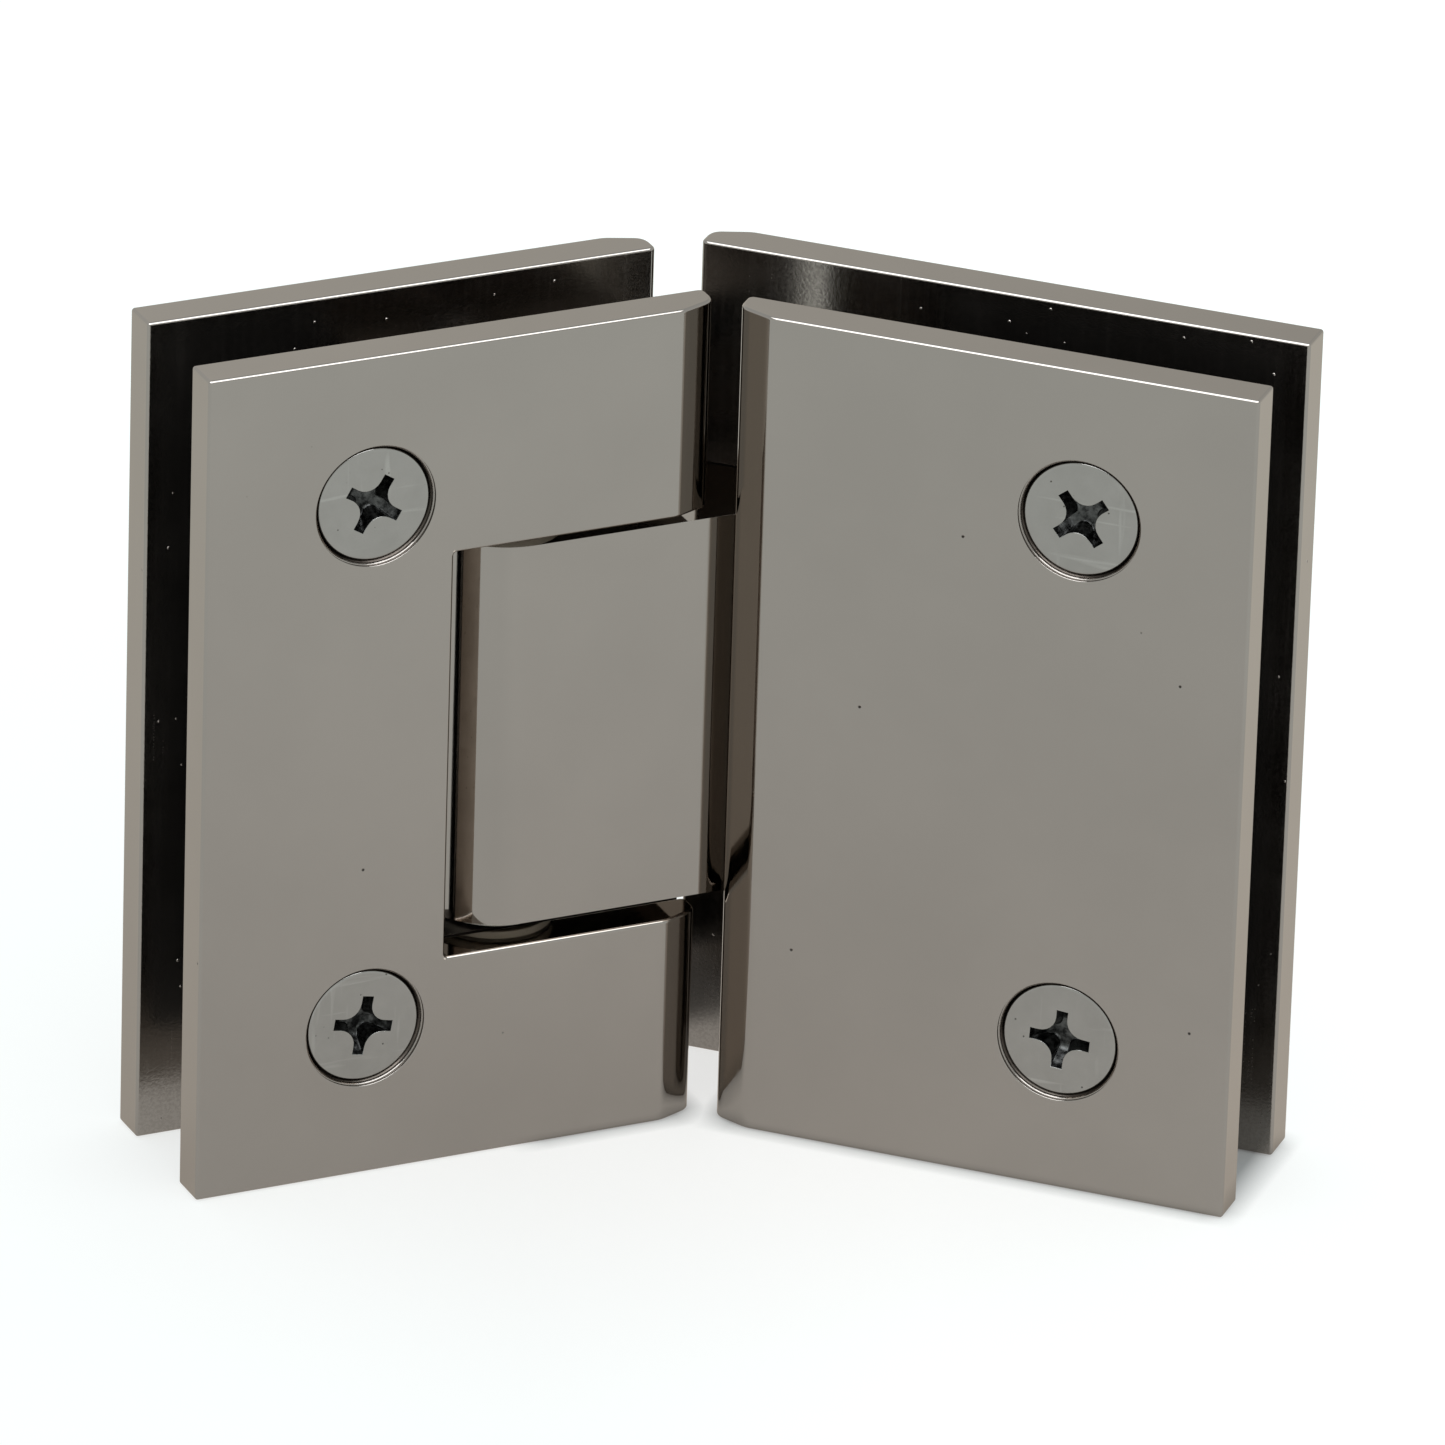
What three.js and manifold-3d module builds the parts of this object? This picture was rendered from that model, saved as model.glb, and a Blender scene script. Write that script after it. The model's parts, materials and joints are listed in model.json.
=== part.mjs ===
// Glass-to-glass shower door hinge. A door leaf swings on a pivot block that the fixed leaf
// carries, and the two leaves stand at 135 degrees to each other when the door is shut.
// Millimetres, +Z up, the inside of the bend faces -Y, and the plates stand on z = 0.
//
// Each leaf is drawn in its own frame, with the pin's axis at x = y = 0: the door leaf runs
// along -X from the pin and the fixed leaf along +X, and +Y is the back of the hinge.

import * as THREE from 'three';
import { mergeVertices } from 'three/addons/utils/BufferGeometryUtils.js';
import Module from 'manifold-3d';

const wasm = await Module();
wasm.setup();

// Driving dimensions
const BEND = THREE.MathUtils.degToRad(45); // how far the leaves are from one flat wall
const HEIGHT = 90; // of every plate
const LEAF_WIDTH = 55.5; // both door plates and the fixed front plate
const PLATE = 4.5; // plate thickness
const PLATE_GAP = 11.2; // between a leaf's front and back plates
const DOOR_REACH = 36.6; // pin axis to the door leaf's outer edge
const FIXED_OFFSET = 15.3; // pin axis to the fixed leaf's middle plane
const FIXED_FRONT_NOSE = 22.2; // pin axis to the fixed front plate's nose, along the leaf
const FIXED_BACK_NOSE = 12.8; // the same for the fixed back plate, which laps the bend
const NOTCH_HEIGHT = 44.7; // of the opening in both door plates
const NOTCH_REACH = 9.7; // pin axis to the notch's closed end
const BLOCK_HEIGHT = 41.8;
const BLOCK_RADIUS = 8.3; // half the block's thickness, and its round end
const FOOT_REACH = 32.5; // pin axis to the end of the block's foot, along the fixed leaf
const FOOT_FRONT = 11.0; // pin axis to the foot's front face
const SCREW_INSET = 18.3; // outer edge to the clamp screws
const SCREW_SPACING = 57.5; // between a leaf's two clamp screws
const PIN_RADIUS = 4.5; // inside the block
const PIN_END_RADIUS = 3.5; // inside the holders
const PIN_END_LENGTH = 13; // past the notch's edges
const PLUNGER_SPACING = 17; // between the two detent plungers
const FIT = 0.3; // left between pieces that touch

// Edges and rounding
const NOSE_LENGTH = 3.9; // from a plate's tip to where its nose meets the face
const NOSE_SLOPE = 0.4; // how steeply the nose's bevel falls away from the face
const NOSE_ROUND = 1.1; // where the bevel ends and the rounded tip starts, from the tip
const NOSE_DEPTH = 2.9; // how deep below the face the tip is square to it
const NOSE_CORNER = 0.8; // rounding where the nose meets the inner face
const EDGE = 0.4; // chamfer on the plates' square edges
const NOSE_STEPS = 6; // to each of the nose's curves
const OVER = 1; // how far a cutting shape runs past what it cuts
const FINE = 40; // facets round the large cylinders
const COARSE = 24; // facets round the small ones

// Gaskets
const GASKET = 0.5;
const GASKET_GAP = 0.2;
const GASKET_INSET = 6; // back from the plates' edges
const GASKET_TO_BLOCK = 3; // from the notch or the block's foot
const GASKET_HOLE = 4.2;

// Clamp screws: countersunk, cross recessed
const CLAMP = { head: 6.2, shank: 3, sunk: 0.4, rim: 0.4, slot: 6.2, web: 1.3, deep: 2.4 };
// The countersunk screws that hold the pin's holders and the block to the back plates
const FIXING = { head: 3.4, shank: 1.75, sunk: 0.2, rim: 0.3, slot: 3.6, web: 0.9, deep: 1.5 };
const TAPPED_DEPTH = 3.4; // of the blind holes in the back plates
const TAPPED_ROOM = 0.4; // between a screw's end and the hole's bottom

// Worked out from the above
const HALF_GAP = PLATE_GAP / 2;
const HALF_STACK = HALF_GAP + PLATE;
const MIDDLE = HEIGHT / 2;
const NOTCH_BOTTOM = (HEIGHT - NOTCH_HEIGHT) / 2;
const NOTCH_TOP = NOTCH_BOTTOM + NOTCH_HEIGHT;
const BLOCK_BOTTOM = (HEIGHT - BLOCK_HEIGHT) / 2;
const BLOCK_TOP = BLOCK_BOTTOM + BLOCK_HEIGHT;
const DOOR_NOSE = LEAF_WIDTH - DOOR_REACH;
const FIXED_REACH = FIXED_FRONT_NOSE + LEAF_WIDTH;
const FIXED_FACE = FIXED_OFFSET - HALF_STACK; // y of the fixed leaf's front face
const SCREW_HEIGHTS = { upper: MIDDLE + SCREW_SPACING / 2, lower: MIDDLE - SCREW_SPACING / 2 };
const BUSH_INSIDE = PIN_RADIUS + FIT;
const BUSH_WALL = 1.2;
const BORE_RADIUS = BUSH_INSIDE + BUSH_WALL + FIT;
const BUSH_LENGTH = 7.4;
const PLUNGER_RADIUS = 3.5;
const PLUNGER_LENGTH = 6.7;
const PLUNGER_START = PIN_RADIUS + FIT;
const PLUNGER_HEIGHTS = { upper: MIDDLE + PLUNGER_SPACING / 2, lower: MIDDLE - PLUNGER_SPACING / 2 };
const SPRING_LENGTH = 7;
const SPRING_START = PLUNGER_START + PLUNGER_LENGTH + FIT;
const SPRING_RADIUS = 2.4; // to the middle of the wire
const SPRING_WIRE = 0.45;
const SPRING_TURNS = 5;
const COIL_STEPS = 12; // a turn
const PLUG_START = SPRING_START + SPRING_LENGTH + FIT;
const PLUG_LENGTH = 5;
const HOLDER_HEIGHT = 14;
const HOLDER_START = -12.2; // along the leaf from the pin
const HOLDER_END = 18.2;
const HOLDER_SCREWS = { inner: -8, outer: 9 }; // along the leaf from the pin
const HOLDER_SCREW_RISE = 4.6; // from the notch's edge
const SET_SCREW_RISE = 11; // the same, for the set screw that grips the pin
const SET_SCREW_RADIUS = 2;
const SET_SCREW_LENGTH = 8;
const FLAT_DEPTH = 0.6; // of the pin's detent flats
const FLAT_HALF_HEIGHT = 5;
const WASHER_RADIUS = 6.2;
const FOOT_SCREW_SPACING = 31.2;
const FOOT_SCREW_INSET = 4.9; // from the foot's end
const SPIGOT_RADIUS = 1.5; // of the plungers, inside the springs
const SPIGOT_LENGTH = 2;

const NICKEL = 0x8f8b82;
const STEEL = 0x8c8c84;
const BRASS = 0xb08d4f;
const RUBBER = 0x26262a;
const NYLON = 0xd8d4c8;

function finish(colour, roughness, metalness) {
  return new THREE.MeshStandardMaterial({ color: colour, roughness, metalness });
}

const plateFinish = () => finish(NICKEL, 0.12, 1);
const screwFinish = () => finish(STEEL, 0.3, 1);
const brassFinish = () => finish(BRASS, 0.35, 1);
const rubberFinish = () => finish(RUBBER, 0.7, 0);
const nylonFinish = () => finish(NYLON, 0.5, 0);

// Geometry helpers

function toSolid(geometry) {
  const bare = geometry.clone();
  bare.deleteAttribute('normal');
  bare.deleteAttribute('uv');
  const welded = mergeVertices(bare, 1e-4);
  const mesh = new wasm.Mesh({
    numProp: 3,
    vertProperties: Float32Array.from(welded.attributes.position.array),
    triVerts: Uint32Array.from(welded.index.array),
  });
  return new wasm.Manifold(mesh);
}

function toGeometry(solid) {
  const mesh = solid.getMesh();
  const geometry = new THREE.BufferGeometry();
  geometry.setAttribute('position', new THREE.BufferAttribute(mesh.vertProperties, 3));
  geometry.setIndex(new THREE.BufferAttribute(mesh.triVerts, 1));
  const faceted = geometry.toNonIndexed();
  faceted.computeVertexNormals();
  return faceted;
}

// The first geometry with all the others taken out of it.
function cut(geometry, ...tools) {
  let solid = toSolid(geometry);
  for (const tool of tools) solid = solid.subtract(toSolid(tool));
  return toGeometry(solid);
}

// A box given by its lowest and highest corners.
function block(low, high) {
  const size = high.map((value, i) => value - low[i]);
  const middle = high.map((value, i) => (value + low[i]) / 2);
  return new THREE.BoxGeometry(...size).translate(...middle);
}

// Cylinders along the three axes, from one end to the other, on the axis through the point.
function cylinderY(radius, from, to, x, z, facets = COARSE) {
  const geometry = new THREE.CylinderGeometry(radius, radius, to - from, facets);
  return geometry.translate(x, (from + to) / 2, z);
}

function cylinderX(radius, from, to, z, facets = COARSE) {
  const geometry = new THREE.CylinderGeometry(radius, radius, to - from, facets);
  return geometry.rotateZ(-Math.PI / 2).translate((from + to) / 2, 0, z);
}

function cylinderZ(radius, from, to, facets = FINE) {
  const geometry = new THREE.CylinderGeometry(radius, radius, to - from, facets);
  return geometry.rotateX(Math.PI / 2).translate(0, 0, (from + to) / 2);
}

function ring(inside, outside, from, to) {
  return cut(cylinderZ(outside, from, to), cylinderZ(inside, from - OVER, to + OVER));
}

function extrudeUp(shape, from, to) {
  const geometry = new THREE.ExtrudeGeometry(shape, { depth: to - from, bevelEnabled: false });
  return geometry.translate(0, 0, from);
}

function lathe(points, facets) {
  return new THREE.LatheGeometry(points.map(([r, y]) => new THREE.Vector2(r, y)), facets);
}

function named(name, geometry, material) {
  const mesh = new THREE.Mesh(geometry, material);
  mesh.name = name;
  return mesh;
}

// Plates

// A plate's outline seen from above: a bevelled nose with a rounded tip at the bend, square
// at the outer end.
function platePlan(noseX, outerX, faceY, innerY) {
  const outward = Math.sign(outerX - noseX);
  const inward = Math.sign(innerY - faceY);
  const at = (along, deep) => new THREE.Vector2(noseX + outward * along, faceY + inward * deep);
  const bevelEnd = at(NOSE_ROUND, (NOSE_LENGTH - NOSE_ROUND) * NOSE_SLOPE);
  const curves = [
    [at(NOSE_CORNER, PLATE), at(0, PLATE), at(0, PLATE - NOSE_CORNER)],
    [at(0, NOSE_DEPTH), at(0, NOSE_LENGTH * NOSE_SLOPE), bevelEnd],
  ];
  const nose = curves.flatMap((curve) =>
    new THREE.QuadraticBezierCurve(...curve).getPoints(NOSE_STEPS),
  );
  const plan = new THREE.Shape([...nose, at(NOSE_LENGTH, 0)]);
  plan.lineTo(outerX - outward * EDGE, faceY);
  plan.lineTo(outerX, faceY + inward * EDGE);
  plan.lineTo(outerX, innerY);
  plan.closePath();
  return plan;
}

// The hole for a clamp screw in a front plate: a countersink and a clearance hole.
function countersink(x, z, faceY) {
  const head = CLAMP.head + FIT;
  const shank = CLAMP.shank + FIT;
  const mouth = CLAMP.sunk + CLAMP.rim;
  const profile = [
    [0, -OVER],
    [head, -OVER],
    [head, mouth],
    [shank, mouth + head - shank],
    [shank, PLATE + OVER],
    [0, PLATE + OVER],
  ];
  return lathe(profile, COARSE).translate(x, faceY, z);
}

function tappedHole(screw, x, z, innerY) {
  return cylinderY(screw.shank + FIT, innerY - OVER, innerY + TAPPED_DEPTH, x, z);
}

function frontPlate(noseX, outerX, faceY, screwX, ...notches) {
  const plan = platePlan(noseX, outerX, faceY, faceY + PLATE);
  const holes = Object.values(SCREW_HEIGHTS).map((z) => countersink(screwX, z, faceY));
  return cut(extrudeUp(plan, 0, HEIGHT), ...holes, ...notches);
}

// fixings: [x, z] of the tapped holes for the small screws.
function backPlate(noseX, outerX, innerY, screwX, fixings, ...notches) {
  const plan = platePlan(noseX, outerX, innerY + PLATE, innerY);
  const clamps = Object.values(SCREW_HEIGHTS).map((z) => tappedHole(CLAMP, screwX, z, innerY));
  const small = fixings.map(([x, z]) => tappedHole(FIXING, x, z, innerY));
  return cut(extrudeUp(plan, 0, HEIGHT), ...clamps, ...small, ...notches);
}

// A gasket sheet from y = low to y = high, with a hole for each clamp screw.
function gasket(fromX, toX, low, high, screwX) {
  const sheet = block([fromX, low, GASKET_INSET], [toX, high, HEIGHT - GASKET_INSET]);
  const hole = (z) => cylinderY(GASKET_HOLE, low - OVER, high + OVER, screwX, z);
  return cut(sheet, ...Object.values(SCREW_HEIGHTS).map(hole));
}

function gasketPair(prefix, fromX, toX, middleY, screwX) {
  const outside = HALF_GAP - GASKET_GAP;
  const inside = outside - GASKET;
  const front = gasket(fromX, toX, middleY - outside, middleY - inside, screwX);
  const back = gasket(fromX, toX, middleY + inside, middleY + outside, screwX);
  return [
    named(`${prefix}_front_gasket`, front, rubberFinish()),
    named(`${prefix}_back_gasket`, back, rubberFinish()),
  ];
}

// Screws

// A countersunk screw along +Y: its head's top at y = top, its point at y = tip.
function screw(kind, x, z, top, tip, turn) {
  const point = 0.5;
  const profile = [
    [0, top],
    [kind.head, top],
    [kind.head, top + kind.rim],
    [kind.shank, top + kind.rim + kind.head - kind.shank],
    [kind.shank, tip - point],
    [kind.shank - point, tip],
    [0, tip],
  ];
  const recess = [top - OVER, top + kind.deep];
  const half = kind.slot / 2;
  const web = kind.web / 2;
  const along = block([-half, recess[0], -web], [half, recess[1], web]);
  const across = block([-web, recess[0], -half], [web, recess[1], half]);
  return cut(lathe(profile, COARSE), along, across).rotateY(turn).translate(x, 0, z);
}

function clampScrews(prefix, x, faceY, turns) {
  const tip = faceY + PLATE + PLATE_GAP + TAPPED_DEPTH - TAPPED_ROOM;
  return Object.entries(SCREW_HEIGHTS).map(([place, z]) => {
    const turn = THREE.MathUtils.degToRad(turns[place]);
    const geometry = screw(CLAMP, x, z, faceY + CLAMP.sunk, tip, turn);
    return named(`${prefix}_${place}_clamp_screw`, geometry, screwFinish());
  });
}

// The seat and through hole of a small countersunk screw, from the piece's front face.
function fixingHole(x, z, faceY, depth) {
  const head = FIXING.head + FIT;
  const shank = FIXING.shank + FIT;
  const mouth = FIXING.sunk + FIXING.rim;
  const profile = [
    [0, -OVER],
    [head, -OVER],
    [head, mouth],
    [shank, mouth + head - shank],
    [shank, depth + OVER],
    [0, depth + OVER],
  ];
  return lathe(profile, COARSE).translate(x, faceY, z);
}

// A short set screw along +X with a hexagon socket in its far end.
function setScrew(radius, from, to, z) {
  const edge = 0.4;
  const profile = [
    [0, from],
    [radius - edge, from],
    [radius, from + edge],
    [radius, to - edge],
    [radius - edge, to],
    [0, to],
  ];
  const body = lathe(profile, COARSE).rotateZ(-Math.PI / 2);
  const socket = cylinderX(radius / 2, to - radius, to + OVER, 0, 6);
  return cut(body, socket).translate(0, 0, z);
}

// Door leaf

// Calls make(place, level) for the upper and the lower of two mirrored pieces. level(rise)
// is the height that lies rise beyond the notch's upper or lower edge.
function upperAndLower(make) {
  return [
    make('upper', (rise) => NOTCH_TOP + rise),
    make('lower', (rise) => NOTCH_BOTTOM - rise),
  ];
}

function notchCutter() {
  const low = [-NOTCH_REACH, -HALF_STACK - OVER, NOTCH_BOTTOM];
  return block(low, [DOOR_NOSE + OVER, HALF_STACK + OVER, NOTCH_TOP]);
}

function pinHolder(level) {
  const thick = HALF_GAP - FIT;
  const heights = [level(0), level(HOLDER_HEIGHT)].sort((a, b) => a - b);
  const body = block([HOLDER_START, -thick, heights[0]], [HOLDER_END, thick, heights[1]]);
  const bore = cylinderZ(PIN_END_RADIUS + FIT, heights[0] - OVER, heights[1] + OVER, COARSE);
  const grip = cylinderX(SET_SCREW_RADIUS + FIT, 0, HOLDER_END + OVER, level(SET_SCREW_RISE));
  const seats = Object.values(HOLDER_SCREWS).map((x) =>
    fixingHole(x, level(HOLDER_SCREW_RISE), -thick, 2 * thick));
  return cut(body, bore, grip, ...seats);
}

function holderScrews(place, level) {
  const top = -HALF_GAP + FIT + FIXING.sunk;
  const tip = HALF_GAP + TAPPED_DEPTH - TAPPED_ROOM;
  return Object.entries(HOLDER_SCREWS).map(([side, x]) => {
    const geometry = screw(FIXING, x, level(HOLDER_SCREW_RISE), top, tip, 0);
    return named(`${place}_holder_${side}_screw`, geometry, screwFinish());
  });
}

function pinSetScrew(level) {
  const start = PIN_END_RADIUS + FIT;
  const z = level(SET_SCREW_RISE);
  return setScrew(SET_SCREW_RADIUS, start, start + SET_SCREW_LENGTH, z);
}

// The pin, stepped at both ends, with four flats for each plunger to settle on.
function pivotPin() {
  const chamfer = 0.6;
  const end = NOTCH_HEIGHT / 2 + PIN_END_LENGTH;
  const step = NOTCH_HEIGHT / 2 - FIT;
  const profile = [
    [0, -end],
    [PIN_END_RADIUS - chamfer, -end],
    [PIN_END_RADIUS, -end + chamfer],
    [PIN_END_RADIUS, -step],
    [PIN_RADIUS, -step],
    [PIN_RADIUS, step],
    [PIN_END_RADIUS, step],
    [PIN_END_RADIUS, end - chamfer],
    [PIN_END_RADIUS - chamfer, end],
    [0, end],
  ];
  const body = lathe(profile, FINE).rotateX(Math.PI / 2).translate(0, 0, MIDDLE);
  const flats = Object.values(PLUNGER_HEIGHTS).flatMap((z) =>
    [0, 1, 2, 3].map((quarter) => {
      const low = [PIN_RADIUS - FLAT_DEPTH, -PIN_RADIUS, z - FLAT_HALF_HEIGHT];
      const high = [PIN_RADIUS + OVER, PIN_RADIUS, z + FLAT_HALF_HEIGHT];
      return block(low, high).rotateZ((quarter * Math.PI) / 2);
    }));
  return cut(body, ...flats);
}

function doorLeaf() {
  const leaf = new THREE.Group();
  const screwX = -DOOR_REACH + SCREW_INSET;
  const fixings = upperAndLower((place, level) =>
    Object.values(HOLDER_SCREWS).map((x) => [x, level(HOLDER_SCREW_RISE)])).flat();
  const front = frontPlate(DOOR_NOSE, -DOOR_REACH, -HALF_STACK, screwX, notchCutter());
  const back = backPlate(DOOR_NOSE, -DOOR_REACH, HALF_GAP, screwX, fixings, notchCutter());
  leaf.add(
    named('door_front_plate', front, plateFinish()),
    named('door_back_plate', back, plateFinish()),
    named('pivot_pin', pivotPin(), screwFinish()),
    ...gasketPair('door', -DOOR_REACH + GASKET_INSET, -NOTCH_REACH - GASKET_TO_BLOCK, 0, screwX),
    ...clampScrews('door', screwX, -HALF_STACK, { upper: 30, lower: 0 }),
  );
  upperAndLower((place, level) => {
    leaf.add(
      named(`${place}_pin_holder`, pinHolder(level), plateFinish()),
      named(`${place}_pin_set_screw`, pinSetScrew(level), screwFinish()),
      ...holderScrews(place, level),
    );
  });
  return leaf;
}

// Fixed leaf

// The block lies in line with the door leaf at rest, so its outline and the bores for the
// plungers turn by the bend. Its foot lies flat along the fixed back plate.
const FOOT_BACK = FIXED_OFFSET + HALF_GAP - FIT;
const FOOT_SCREW_X = FOOT_REACH - FOOT_SCREW_INSET;
const FOOT_SCREW_HEIGHTS = {
  upper: MIDDLE + FOOT_SCREW_SPACING / 2,
  lower: MIDDLE - FOOT_SCREW_SPACING / 2,
};

// Where the block's front (side = -1) or back (side = 1) face is y away from the pin.
function alongFace(side, y) {
  const run = (y - side * BLOCK_RADIUS * Math.cos(BEND)) / Math.sin(BEND);
  return run * Math.cos(BEND) - side * BLOCK_RADIUS * Math.sin(BEND);
}

function pivotBlock() {
  const plan = new THREE.Shape();
  plan.absarc(0, 0, BLOCK_RADIUS, Math.PI / 2 + BEND, (3 * Math.PI) / 2 + BEND, false);
  plan.lineTo(alongFace(-1, FOOT_FRONT), FOOT_FRONT);
  plan.lineTo(FOOT_REACH, FOOT_FRONT);
  plan.lineTo(FOOT_REACH, FOOT_BACK);
  plan.lineTo(alongFace(1, FOOT_BACK), FOOT_BACK);
  plan.closePath();
  const body = new THREE.ExtrudeGeometry(plan, {
    depth: BLOCK_HEIGHT - 2 * EDGE,
    curveSegments: FINE / 2,
    bevelThickness: EDGE,
    bevelSize: EDGE,
    bevelOffset: -EDGE,
    bevelSegments: 1,
  }).translate(0, 0, BLOCK_BOTTOM + EDGE);
  const bore = cylinderZ(BORE_RADIUS, BLOCK_BOTTOM - OVER, BLOCK_TOP + OVER);
  const plungerBores = Object.values(PLUNGER_HEIGHTS).map((z) =>
    cylinderX(PLUNGER_RADIUS + FIT, 0, FOOT_REACH + PLATE_GAP, z).rotateZ(BEND));
  const seats = Object.values(FOOT_SCREW_HEIGHTS).map((z) =>
    fixingHole(FOOT_SCREW_X, z, FOOT_FRONT, FOOT_BACK - FOOT_FRONT));
  return cut(body, bore, ...plungerBores, ...seats);
}

// A detent plunger along +X, with a spigot that centres its spring.
function plunger(z) {
  const lead = 0.8;
  const end = PLUNGER_START + PLUNGER_LENGTH;
  const profile = [
    [0, PLUNGER_START],
    [PLUNGER_RADIUS - lead, PLUNGER_START],
    [PLUNGER_RADIUS, PLUNGER_START + lead],
    [PLUNGER_RADIUS, end],
    [SPIGOT_RADIUS, end],
    [SPIGOT_RADIUS, end + SPIGOT_LENGTH],
    [0, end + SPIGOT_LENGTH],
  ];
  return lathe(profile, COARSE).rotateZ(-Math.PI / 2).translate(0, 0, z);
}

class Coil extends THREE.Curve {
  getPoint(t, target = new THREE.Vector3()) {
    const turn = t * SPRING_TURNS * 2 * Math.PI;
    const travel = SPRING_START + SPRING_WIRE + t * (SPRING_LENGTH - 2 * SPRING_WIRE);
    return target.set(travel, SPRING_RADIUS * Math.cos(turn), SPRING_RADIUS * Math.sin(turn));
  }
}

function plungerSpring(z) {
  const wire = new THREE.Shape();
  wire.absarc(0, 0, SPRING_WIRE, 0, 2 * Math.PI, false);
  const geometry = new THREE.ExtrudeGeometry(wire, {
    steps: SPRING_TURNS * COIL_STEPS,
    curveSegments: 4,
    bevelEnabled: false,
    extrudePath: new Coil(),
  });
  return geometry.translate(0, 0, z);
}

// The two plungers with their springs and plugs, in the door leaf's direction.
function detent() {
  const group = new THREE.Group();
  for (const [place, z] of Object.entries(PLUNGER_HEIGHTS)) {
    const plug = setScrew(PLUNGER_RADIUS, PLUG_START, PLUG_START + PLUG_LENGTH, z);
    group.add(
      named(`${place}_plunger`, plunger(z), screwFinish()),
      named(`${place}_plunger_spring`, plungerSpring(z), screwFinish()),
      named(`${place}_spring_plug`, plug, brassFinish()),
    );
  }
  group.rotation.z = BEND;
  return group;
}

function bearings() {
  const washerBottom = { upper: BLOCK_TOP + FIT, lower: NOTCH_BOTTOM + FIT };
  const washerThickness = (NOTCH_HEIGHT - BLOCK_HEIGHT) / 2 - 2 * FIT;
  const bushBottom = { upper: BLOCK_TOP - FIT - BUSH_LENGTH, lower: BLOCK_BOTTOM + FIT };
  return ['upper', 'lower'].flatMap((place) => {
    const low = washerBottom[place];
    const bush = bushBottom[place];
    const washer = ring(BUSH_INSIDE, WASHER_RADIUS, low, low + washerThickness);
    const sleeve = ring(BUSH_INSIDE, BUSH_INSIDE + BUSH_WALL, bush, bush + BUSH_LENGTH);
    return [
      named(`${place}_thrust_washer`, washer, nylonFinish()),
      named(`${place}_pin_bush`, sleeve, nylonFinish()),
    ];
  });
}

function footScrews() {
  const top = FOOT_FRONT + FIXING.sunk;
  const tip = FOOT_BACK + FIT + TAPPED_DEPTH - TAPPED_ROOM;
  return Object.entries(FOOT_SCREW_HEIGHTS).map(([place, z]) =>
    named(`${place}_block_screw`, screw(FIXING, FOOT_SCREW_X, z, top, tip, 0), screwFinish()));
}

function fixedLeaf() {
  const leaf = new THREE.Group();
  const screwX = FIXED_REACH - SCREW_INSET;
  const innerY = FIXED_OFFSET + HALF_GAP;
  const fixings = Object.values(FOOT_SCREW_HEIGHTS).map((z) => [FOOT_SCREW_X, z]);
  const front = frontPlate(FIXED_FRONT_NOSE, FIXED_REACH, FIXED_FACE, screwX);
  const back = backPlate(FIXED_BACK_NOSE, FIXED_REACH, innerY, screwX, fixings);
  const gasketEnds = [FOOT_REACH + GASKET_TO_BLOCK, FIXED_REACH - GASKET_INSET];
  leaf.add(
    named('fixed_front_plate', front, plateFinish()),
    named('fixed_back_plate', back, plateFinish()),
    named('pivot_block', pivotBlock(), plateFinish()),
    detent(),
    ...bearings(),
    ...footScrews(),
    ...gasketPair('fixed', ...gasketEnds, FIXED_OFFSET, screwX),
    ...clampScrews('fixed', screwX, FIXED_FACE, { upper: -35, lower: 8 }),
  );
  return leaf;
}

// The hinge, turned so that both leaves lean the same way from the X axis, with the middle
// of its box over the origin.
function hinge() {
  const door = doorLeaf();
  door.rotation.z = BEND / 2;
  const fixed = fixedLeaf();
  fixed.rotation.z = -BEND / 2;
  const leaves = new THREE.Group();
  leaves.add(door, fixed);
  const bounds = new THREE.Box3().setFromObject(leaves, true);
  const middle = bounds.getCenter(new THREE.Vector3());
  leaves.position.set(-middle.x, -middle.y, -bounds.min.z);
  const whole = new THREE.Group();
  whole.add(leaves);
  return whole;
}

export default hinge();
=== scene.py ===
import json
import math

import bmesh
import bpy
from mathutils import Matrix, Vector


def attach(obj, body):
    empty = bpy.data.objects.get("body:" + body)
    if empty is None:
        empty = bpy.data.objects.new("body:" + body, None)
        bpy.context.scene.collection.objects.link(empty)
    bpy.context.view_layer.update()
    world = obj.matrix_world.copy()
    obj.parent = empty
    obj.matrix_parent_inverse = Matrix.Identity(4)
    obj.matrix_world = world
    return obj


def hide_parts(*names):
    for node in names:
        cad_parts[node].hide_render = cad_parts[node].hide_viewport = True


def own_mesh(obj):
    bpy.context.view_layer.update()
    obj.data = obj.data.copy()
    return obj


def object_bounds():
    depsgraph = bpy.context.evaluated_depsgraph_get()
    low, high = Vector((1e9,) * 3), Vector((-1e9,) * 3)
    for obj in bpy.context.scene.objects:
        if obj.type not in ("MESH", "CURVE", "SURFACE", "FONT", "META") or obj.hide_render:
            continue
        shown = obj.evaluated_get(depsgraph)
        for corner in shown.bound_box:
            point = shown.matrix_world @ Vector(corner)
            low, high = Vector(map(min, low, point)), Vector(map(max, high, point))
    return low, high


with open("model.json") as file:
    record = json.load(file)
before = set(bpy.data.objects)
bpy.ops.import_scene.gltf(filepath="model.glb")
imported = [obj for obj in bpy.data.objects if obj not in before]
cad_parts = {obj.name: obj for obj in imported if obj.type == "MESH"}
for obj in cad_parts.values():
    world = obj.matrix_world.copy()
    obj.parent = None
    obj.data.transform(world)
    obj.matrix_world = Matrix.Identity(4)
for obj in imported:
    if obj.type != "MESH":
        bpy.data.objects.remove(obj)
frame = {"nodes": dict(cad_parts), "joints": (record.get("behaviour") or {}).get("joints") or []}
cad_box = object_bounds()

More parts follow.
